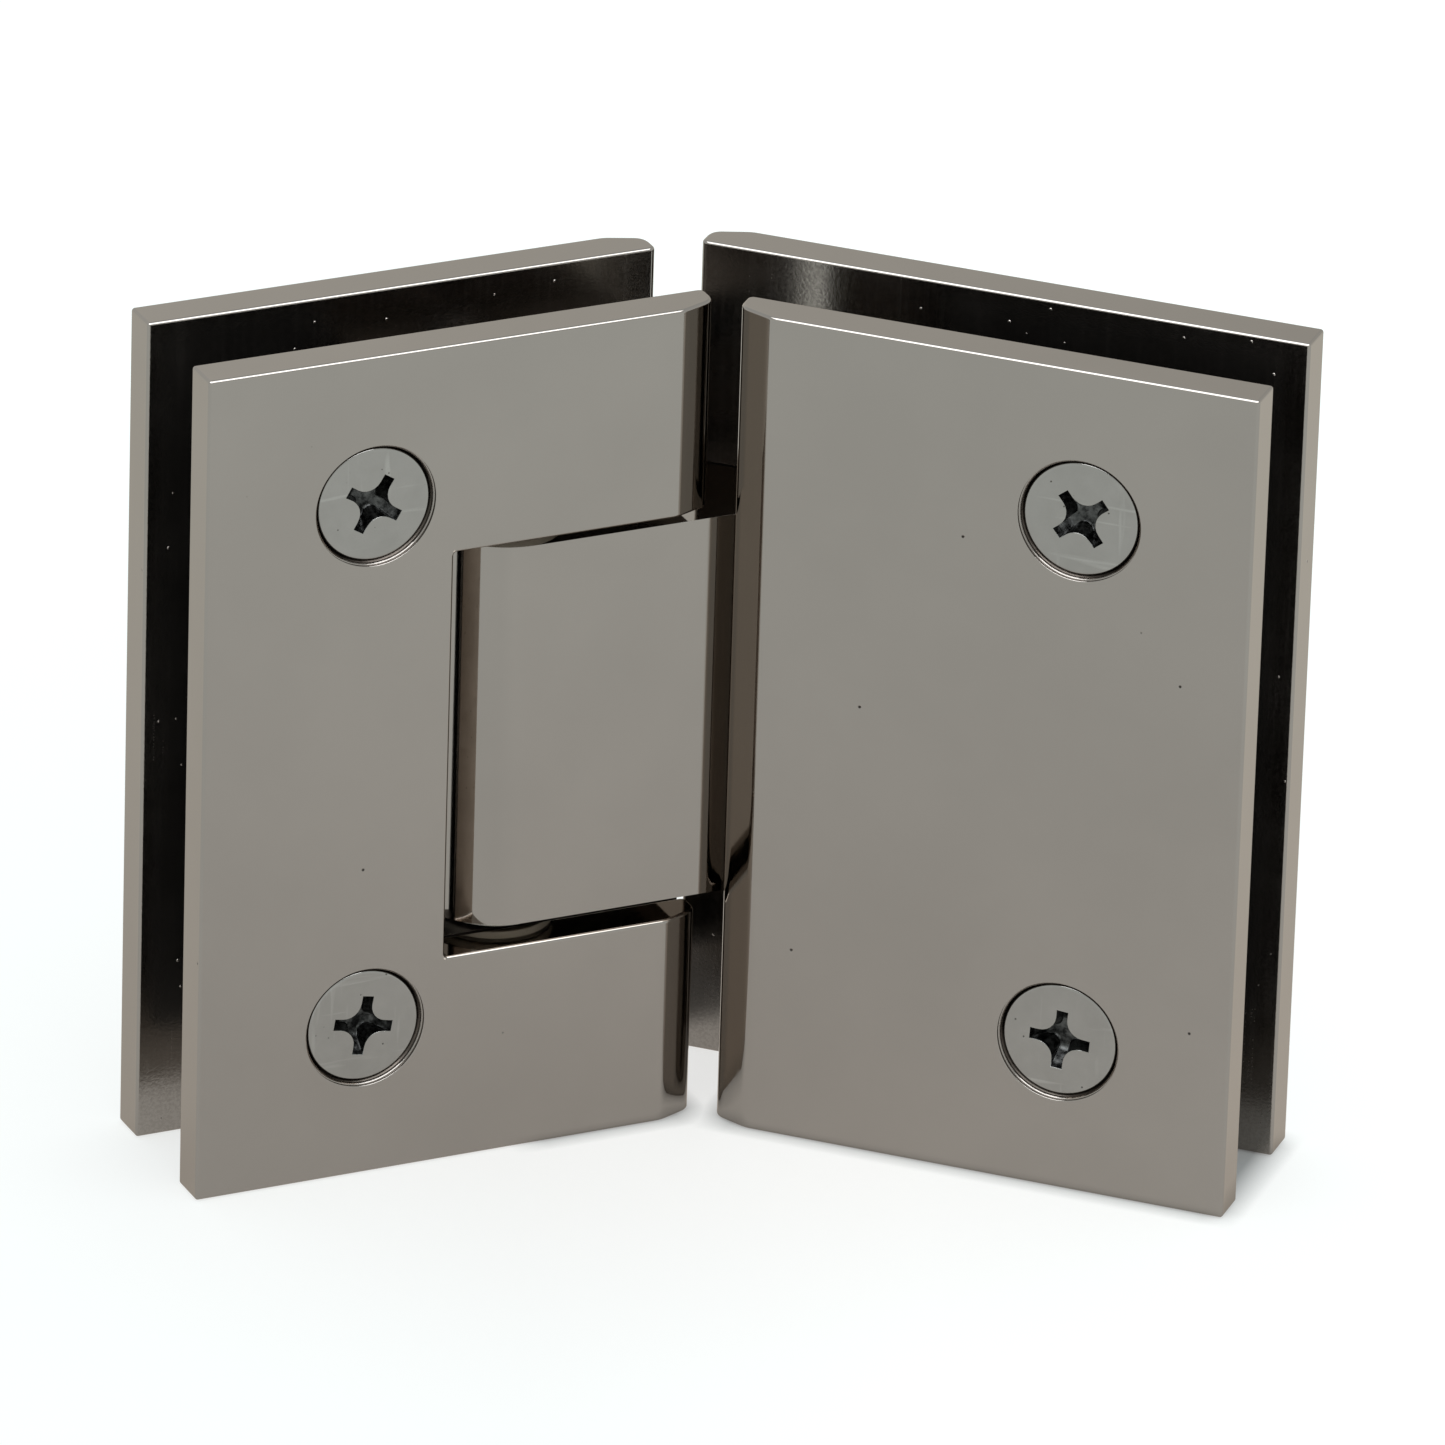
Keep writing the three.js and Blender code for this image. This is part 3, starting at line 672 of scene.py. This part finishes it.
def recess_loop(y, arm, web, root):
    """The outline of a cross recess whose arms flow into each other in hollow curves."""
    steps = 6
    points = []
    for quarter in range(4):
        turn = quarter * math.pi / 2
        arc = [(-0.5 - 0.5 * i / steps) * math.pi for i in range(steps + 1)]
        radius = root - web
        flat = [(arm, -web), (arm, web)]
        flat += [(root + radius * math.cos(a), root + radius * math.sin(a)) for a in arc]
        for u, v in flat:
            points.append(Vector((u * math.cos(turn) - v * math.sin(turn), y,
                                  u * math.sin(turn) + v * math.cos(turn))))
    return points


def cross_recess(kind, top):
    arm, web, root, deep = (kind[key] for key in ("arm", "web", "root", "deep"))
    shape = [(-0.3, 1.01), (0, 1), (0.4, 0.9), (0.8, 0.68), (1, 0.4)]
    loops = [recess_loop(top + deep * depth, arm * size, web * (0.7 + 0.3 * size),
                         root * (0.1 + 0.9 * size)) for depth, size in shape]
    return loft(loops)


def thread_loops(kind, start, end):
    """Loops of a screw thread along +Y, fading in and out at its ends."""
    sides, pitch, height = kind["sides"], kind["pitch"], kind["thread"]
    crest = kind["shank"] - 0.04
    rows = int((end - start) / pitch * 8)
    loops = []
    for row in range(rows + 1):
        y = start + (end - start) * row / rows
        fade = min(1, (y - start) / pitch, (end - y) / pitch + 0.2)
        loop = []
        for i in range(sides):
            turn = 2 * math.pi * i / sides
            phase = (y / pitch - i / sides) % 1
            wave = min(1, 1.25 * abs(2 * phase - 1))
            radius = crest - height * (1 - wave) * fade - height * 0.3 * (1 - fade)
            loop.append(Vector((radius * math.cos(turn), y, radius * math.sin(turn))))
        loops.append(loop)
    return loops


def build_screw(node, space, kind, turn, slot):
    low, high = local_box(node, space)
    top, tip = low.y, high.y
    head, shank, rim = kind["head"], kind["shank"], kind["rim"]
    neck = top + rim + head - shank
    ease = 0.16 * head / CLAMP["head"]
    if kind is CLAMP:
        sink = HEAD_SUNK - kind["sunk"]
        head, top, rim = head + FIT - HEAD_ROOM, top + sink, rim - sink
    profile = [(kind["arm"] + 0.25, top), (head - 2.2 * ease, top),
               (head - 0.9 * ease, top + 0.2 * ease), (head - 0.2 * ease, top + 0.7 * ease),
               (head, top + 1.3 * ease), (head, top + rim), (kind["head"] - 0.2, top + rim + 0.2),
               (shank + 0.3, neck - 0.3), (shank - 0.05, neck), (shank - 0.25, neck + 0.4)]
    loops = [[Vector((u, along, v)) for u, v in circle(radius, kind["sides"])]
             for radius, along in profile]
    loops += thread_loops(kind, neck + 0.6, tip - 0.5)
    end_radius = shank - 0.9 * kind["thread"] - 0.3
    loops.append([Vector((u, tip, v)) for u, v in circle(end_radius, kind["sides"])])
    piece = to_object(node, loft(loops))
    carve(piece, [cross_recess(kind, top)])
    soften(piece, 0.07, 2, lambda p: p.y < top + 0.02 and math.hypot(p.x, p.z) < head * 0.8)
    x, z = (low.x + high.x) / 2, (low.z + high.z) / 2
    piece.data.transform(Matrix.Translation((x, 0, z)) @ Matrix.Rotation(turn, 4, "Y"))

    def in_recess(polygon):
        u, y, v = polygon.center
        deep = top + 0.03 < y < top + kind["deep"] + 0.1
        return deep and math.hypot(u - x, v - z) < kind["arm"] + 0.05

    place(piece, node, space, slot, None, ("recess",), in_recess)


def set_screw(node, space, slot, radius, socket, body=None):
    """A grub screw along +X with a hexagon socket in its far end."""
    low, high = local_box(node, space)
    start, end = low.x, high.x
    z = (low.z + high.z) / 2
    pitch = radius * 0.4
    profile = [(radius * 0.45, start), (radius * 0.8, start + radius * 0.3)]
    count = int((end - start - radius * 0.7) / pitch * 2)
    for i in range(count + 1):
        along = start + radius * 0.35 + i * pitch / 2
        profile.append((radius * (0.98 if i % 2 else 0.86), along))
    profile += [(radius * 0.95, end - radius * 0.2), (radius * 0.82, end)]
    piece = to_object(node, lathe("X", profile, 48))
    hexagon = [[(along, u, v) for u, v in circle(socket * size, 6)]
               for along, size in ((end + OVER, 1), (end - radius, 1), (end - radius * 1.2, 0.3))]
    carve(piece, [loft(hexagon)])
    soften(piece, 0.05, 2, lambda p: abs(p.x - end) < 0.02)
    piece.data.transform(Matrix.Translation((0, 0, z)))
    return place(piece, node, space, slot, body)


# Door leaf

def build_holder(level):
    node = f"{level}_pin_holder"
    low, high = HOLDER_BOXES[level]
    piece = to_object(node, box_solid(low, high))
    radius = PIN_END_RADIUS + FIT
    tools = [lathe("Z", [(radius, low.z - OVER), (radius, high.z + OVER)], 64)]
    screw_height = local_box(f"{level}_pin_set_screw", "door")
    z = (screw_height[0].z + screw_height[1].z) / 2
    tapped = SET_SCREW_RADIUS + 0.1
    tools.append(lathe("X", [(tapped, 0), (tapped, high.x + OVER)], 48, (0, 0, z)))
    for end in ("inner", "outer"):
        x, height = screw_centre(f"{level}_holder_{end}_screw", "door")
        tools.append(countersink(FIXING, x, height, low.y, high.y - low.y, 64))
    carve(piece, tools)
    soften(piece, 0.22, 3)
    # the holder is near-black: painted shade between the plates
    place(piece, node, "door", "black_nickel", finish="painted_shade_nickel")


def build_pin():
    low, high = local_box("pivot_pin", "door")
    middle = (low.z + high.z) / 2
    notch = (NOTCH_TOP - NOTCH_BOTTOM) / 2
    end, step = (high.z - low.z) / 2, notch - FIT
    corners = [(PIN_RADIUS, step), (PIN_END_RADIUS, step), (PIN_END_RADIUS, end - 0.6),
               (PIN_END_RADIUS - 0.6, end), (1.2, end)]
    upper = [(PIN_RADIUS, step - 0.2)] + eased(corners, 0.12)[1:]
    profile = [(r, middle - z) for r, z in reversed(upper)] + [(r, middle + z) for r, z in upper]
    piece = to_object("pivot_pin", lathe("Z", profile, 96))
    tools = []
    for level in LEVELS:
        height = sum(local_box(f"{level}_plunger", "door")[i].z for i in (0, 1)) / 2
        for quarter in range(4):
            tool = box_solid((FLAT_REACH, -PIN_RADIUS, height - FLAT_HALF_HEIGHT),
                             (PIN_RADIUS + OVER, PIN_RADIUS, height + FLAT_HALF_HEIGHT))
            tool.transform(Matrix.Rotation(quarter * math.pi / 2, 4, "Z"))
            tools.append(tool)
    carve(piece, tools)
    soften(piece, 0.1, 2)
    place(piece, "pivot_pin", "door", "ground_steel")


# Fixed leaf

def along_face(side, y):
    """Where the block's front (-1) or back (1) face is y away from the pin."""
    run = (y - side * BLOCK_RADIUS * math.cos(BEND)) / math.sin(BEND)
    return run * math.cos(BEND) - side * BLOCK_RADIUS * math.sin(BEND)


def build_block():
    low, high = local_box("pivot_block", "fixed")
    foot_back, reach = high.y, high.x
    steps = 64
    plan = []
    for step in range(steps + 1):
        turn = math.pi / 2 + BEND + step / steps * math.pi
        plan.append((BLOCK_RADIUS * math.cos(turn), BLOCK_RADIUS * math.sin(turn)))
    plan += [(along_face(-1, FOOT_FRONT), FOOT_FRONT), (reach, FOOT_FRONT),
             (reach, foot_back), (along_face(1, foot_back), foot_back)]
    piece = to_object("pivot_block", prism("Z", plan, low.z, high.z))
    bush = local_box("upper_pin_bush", "fixed")[1].x + FIT
    tools = [lathe("Z", [(bush, low.z - OVER), (bush, high.z + OVER)], 96)]
    for level in LEVELS:
        box = local_box(f"{level}_plunger", "door")
        bore = (box[1].y - box[0].y) / 2 + FIT
        height = (box[0].z + box[1].z) / 2
        tool = lathe("X", [(bore, 0), (bore, reach + 11)], 48, (0, 0, height))
        tool.transform(Matrix.Rotation(BEND, 4, "Z"))
        tools.append(tool)
        x, z = screw_centre(f"{level}_block_screw", "fixed")
        tools.append(countersink(FIXING, x, z, FOOT_FRONT, foot_back - FOOT_FRONT, 64))
    carve(piece, tools)
    soften(piece, BLOCK_EDGE, 4)
    place(piece, "pivot_block", "fixed", "black_nickel")


def build_ring(node, inside, outside):
    low, high = local_box(node, "fixed")
    profile = [(inside, low.z), (outside, low.z), (outside, high.z), (inside, high.z)]
    ring = lathe("Z", eased(profile, 0.15, closed=True), 72, closed=True)
    place(to_object(node, ring), node, "fixed", "nylon")


def build_plunger(level):
    node = f"{level}_plunger"
    low, high = local_box(node, "door")
    start, end = low.x, high.x - SPIGOT_LENGTH
    z = (low.z + high.z) / 2
    profile = [(0.4, start), (PLUNGER_RADIUS - 0.8, start), (PLUNGER_RADIUS, start + 0.8),
               (PLUNGER_RADIUS, end), (SPIGOT_RADIUS, end), (SPIGOT_RADIUS, end + SPIGOT_LENGTH),
               (0.4, end + SPIGOT_LENGTH)]
    piece = to_object(node, lathe("X", eased(profile, 0.3, 4), 64, (0, 0, z)))
    place(piece, node, "door", "ground_steel", node)


def build_spring(level):
    """A compression spring, closed at both ends."""
    node = f"{level}_plunger_spring"
    low, high = local_box(node, "door")
    z = (low.z + high.z) / 2
    sides, per_turn = 12, 28
    radius = (high.y - low.y) / 2 - SPRING_WIRE
    first, last = low.x + SPRING_WIRE, high.x - SPRING_WIRE
    loops = []
    for i in range(SPRING_TURNS * per_turn + 1):
        t = i / (SPRING_TURNS * per_turn)
        turn = 2 * math.pi * SPRING_TURNS * t
        share = t - SPRING_CLOSING * math.sin(4 * math.pi * t)
        centre = Vector((first + (last - first) * share, radius * math.cos(turn),
                         radius * math.sin(turn) + z))
        out = Vector((0, math.cos(turn), math.sin(turn)))
        loops.append([centre + out * u + Vector((v, 0, 0)) for u, v in circle(SPRING_WIRE, sides)])
    piece = place(to_object(node, loft(loops)), node, "door", "ground_steel", "fixed_leaf")
    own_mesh(piece)


def build_hinge():
    for space in ("door", "fixed"):
        for side in ("front", "back"):
            build_plate(space, side)
            build_gasket(space, side)
        for level in LEVELS:
            turn = math.radians(CLAMP_TURNS[f"{space}_{level}"])
            build_screw(f"{space}_{level}_clamp_screw", space, CLAMP, turn, "screw_nickel")
    build_pin()
    build_block()
    for level in LEVELS:
        build_holder(level)
        for end, turn in (("inner", 0.4), ("outer", 1.1)):
            build_screw(f"{level}_holder_{end}_screw", "door", FIXING, turn, "steel")
        build_screw(f"{level}_block_screw", "fixed", FIXING, 0.7, "steel")
        set_screw(f"{level}_pin_set_screw", "door", "steel", SET_SCREW_RADIUS, 1.0)
        set_screw(f"{level}_spring_plug", "door", "brass", PLUNGER_RADIUS, 1.75, "fixed_leaf")
        build_ring(f"{level}_pin_bush", *BUSH_RADII)
        build_ring(f"{level}_thrust_washer", *WASHER_RADII)
        build_plunger(level)
        build_spring(level)


build_hinge()


# Studio

def painted_shadow_under_leaf(g, space, middle, half):
    """The mask of a painted shadow: 1 on the part of the floor under a leaf's plates that the half
    sizes along and across the leaf reach from middle, fading to 0 just outside it."""
    leaf = SPACES[space]
    centre = leaf @ Vector((*middle, 0))
    offset = g.add("ShaderNodeVectorMath", {0: g.coords, 1: centre}, operation="SUBTRACT")
    fades = []
    for axis, reach in (((1, 0, 0), half.x), ((0, 1, 0), half.y)):
        inputs = {0: offset.outputs["Vector"], 1: leaf.to_3x3() @ Vector(axis)}
        away = g.add("ShaderNodeVectorMath", inputs, operation="DOT_PRODUCT").outputs["Value"]
        away = g.maths("ABSOLUTE", away, 0.0)
        fades.append(g.span(away, reach - PAINTED_SHADOW_FADE, reach + PAINTED_SHADOW_FADE, 1, 0))
    return g.maths("MULTIPLY", *fades)


def add_floor():
    mesh = bmesh.new()
    bmesh.ops.create_grid(mesh, x_segments=8, y_segments=8, size=4)
    floor = to_object("floor", mesh)
    floor.location.z = -0.0001
    g = MaterialGraph("floor_paper")
    reach = g.add("ShaderNodeVectorMath", {0: g.coords}, operation="LENGTH").outputs["Value"]
    # painted shade: 0 within 0.02 m of the floor's middle, rising to 1 at 0.2 m
    painted_shade_near = g.span(reach, 0.02, 0.2, 0, 1)
    # painted shade: the floor left of the hinge glows dimmer
    left = g.span(g.add("ShaderNodeSeparateXYZ", {"Vector": g.coords}).outputs["X"],
                  -0.02, 0.02, PAINTED_SHADE_LEFT_GLOW, 1)
    painted_shadows = []
    for space in ("door", "fixed"):
        low, high = (corner * MM for corner in local_box(f"{space}_front_plate", space))
        high.y = local_box(f"{space}_back_plate", space)[1].y * MM
        low.x = max(low.x, 0)  # no painted shadow past the pin, where the door leaf swings away
        middle, half = (low + high) / 2, (high - low) / 2
        painted_shadows.append(painted_shadow_under_leaf(g, space, middle.xy, half))
    # painted shadow: the floor glows dimmer where either leaf's mask is 1
    shade = g.maths("MAXIMUM", *painted_shadows)
    lit = g.maths("MULTIPLY", left, g.span(shade, 0, 1, FLOOR_GLOW, FLOOR_GLOW * PAINTED_SHADOW_GLOW))
    tone = g.mix(g.noise(3, 2, 0.5), *FLOOR_TONES)
    glow = g.mix(painted_shade_near, PAINTED_SHADE_GLOW_NEAR, GLOW_FAR)
    g.shade(Base_Color=tone, Roughness=0.9, Emission_Color=glow, Emission_Strength=lit,
            Specular_IOR_Level=0.2)
    floor.data.materials.append(g.material)


def add_light(name):
    """A soft rectangular light that faces the object. It shows only as a highlight, so the
    floor stays even."""
    data = bpy.data.lights.new(name, "AREA")
    data.shape = "RECTANGLE"
    data.size, data.size_y = LIGHT_SIZE
    data.energy = LIGHT_RADIANCE * math.pi * LIGHT_SIZE[0] * LIGHT_SIZE[1]
    data.color = LIGHT_TINT
    light = bpy.data.objects.new(name, data)
    light.location = LIGHT_PLACE
    aim = Vector(LIGHT_PLACE) - CENTRE
    light.rotation_euler = aim.to_track_quat("Z", "Y").to_euler()
    light.visible_diffuse = False
    bpy.context.scene.collection.objects.link(light)


def add_world():
    """An even pale studio, a little darker overhead, with the soft edge of a panel behind."""
    world = bpy.data.worlds.new("studio")
    world.use_nodes = True
    g = Graph(world.node_tree)
    shade = next(n for n in g.tree.nodes if n.type == "BACKGROUND")
    sky = g.add("ShaderNodeTexCoord").outputs["Generated"]
    parts = g.add("ShaderNodeSeparateXYZ", {"Vector": sky}).outputs
    rise = g.mix(g.span(parts["Z"], 0, 1, 0, 1), SKY_LEVEL, SKY_OVERHEAD)
    panel = g.span(parts["X"], 0.0, 0.085, PANEL_BRIGHT, PANEL_DIM)
    behind = g.span(parts["Y"], 0.5, 0.75, 0, 1)
    g.feed(shade.inputs["Color"], rise)
    change = g.maths("MULTIPLY", behind, g.maths("SUBTRACT", panel, 1.0))
    g.feed(shade.inputs["Strength"], g.maths("ADD", 1.0, change))
    bpy.context.scene.world = world


add_world()
add_floor()
add_light("overhead")
bpy.context.scene.view_settings.view_transform = "Standard"
